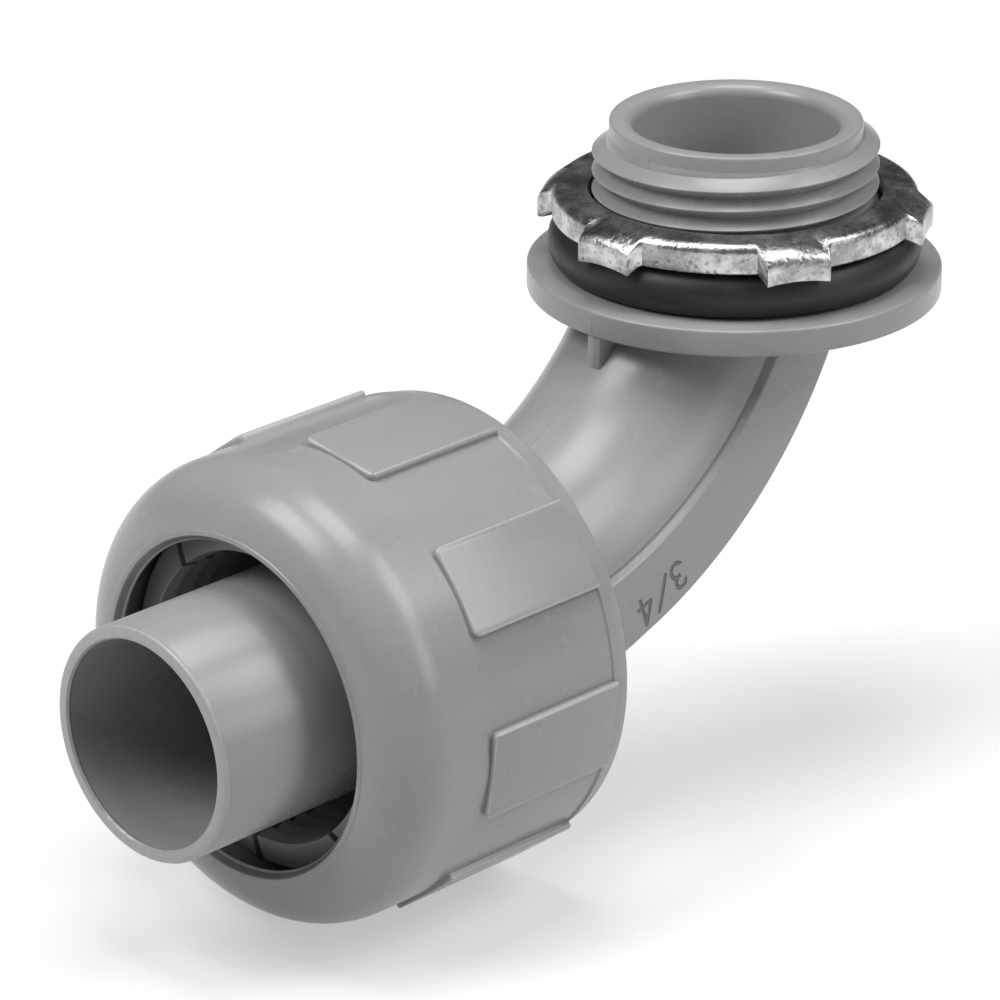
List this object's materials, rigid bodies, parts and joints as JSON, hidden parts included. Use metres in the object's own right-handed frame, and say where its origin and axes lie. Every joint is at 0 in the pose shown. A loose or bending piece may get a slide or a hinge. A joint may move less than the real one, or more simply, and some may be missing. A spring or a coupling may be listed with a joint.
{
  "type": "liquid-tight conduit elbow",
  "caption": "Ninety degree liquid-tight conduit fitting: threaded hub with sealing ring and lugged locknut, swept elbow, compression nut with split gripping ring, and an inner spigot",
  "frame": {"origin": "where the hub axis meets the flange's sealing face, which lies against the enclosure wall", "axes": "+Z runs out of the threaded hub into the enclosure, -Y runs out of the compression nut along the conduit, and X is square to the plane of the bend"},
  "size_m": [0.0434, 0.0933, 0.0596],
  "materials": {
    "moulded_body": "satin moulded plastic, mid grey",
    "moulded_nut": "satin moulded plastic, mid grey",
    "moulded_ring": "satin moulded plastic, mid grey",
    "seal_rubber": "smooth black rubber",
    "plated_steel": "zinc plated pressed steel, mottled"
  },
  "bodies": {
    "fitting": {"elbow_body": "moulded_body"},
    "seal": {"sealing_ring": "seal_rubber"},
    "lock": {"locknut": "plated_steel"},
    "grip": {"clamp_ring": "moulded_ring"},
    "nut": {"compression_nut": "moulded_nut"}
  },
  "joints": [
    {"name": "locknut_turn", "type": "hinge", "parent": "fitting", "child": "seal", "pos_m": [0, 0, 0], "axis": [0, 0, 1], "range_deg": [0, 1440]},
    {"name": "locknut_travel", "type": "slide", "parent": "seal", "child": "lock", "axis": [0, 0, 1], "range_m": [0, 0.0073]},
    {"name": "nut_travel", "type": "slide", "parent": "fitting", "child": "grip", "axis": [0, -1, 0], "range_m": [0, 0.0091]},
    {"name": "nut_turn", "type": "hinge", "parent": "grip", "child": "nut", "pos_m": [0, 0, -0.02435], "axis": [0, -1, 0], "range_deg": [0, 1080]}
  ],
  "couplings": [
    {"joint": "locknut_travel", "follows": "locknut_turn", "m_per_rad": 0.00028875},
    {"joint": "nut_travel", "follows": "nut_turn", "m_per_rad": 0.00047746}
  ]
}
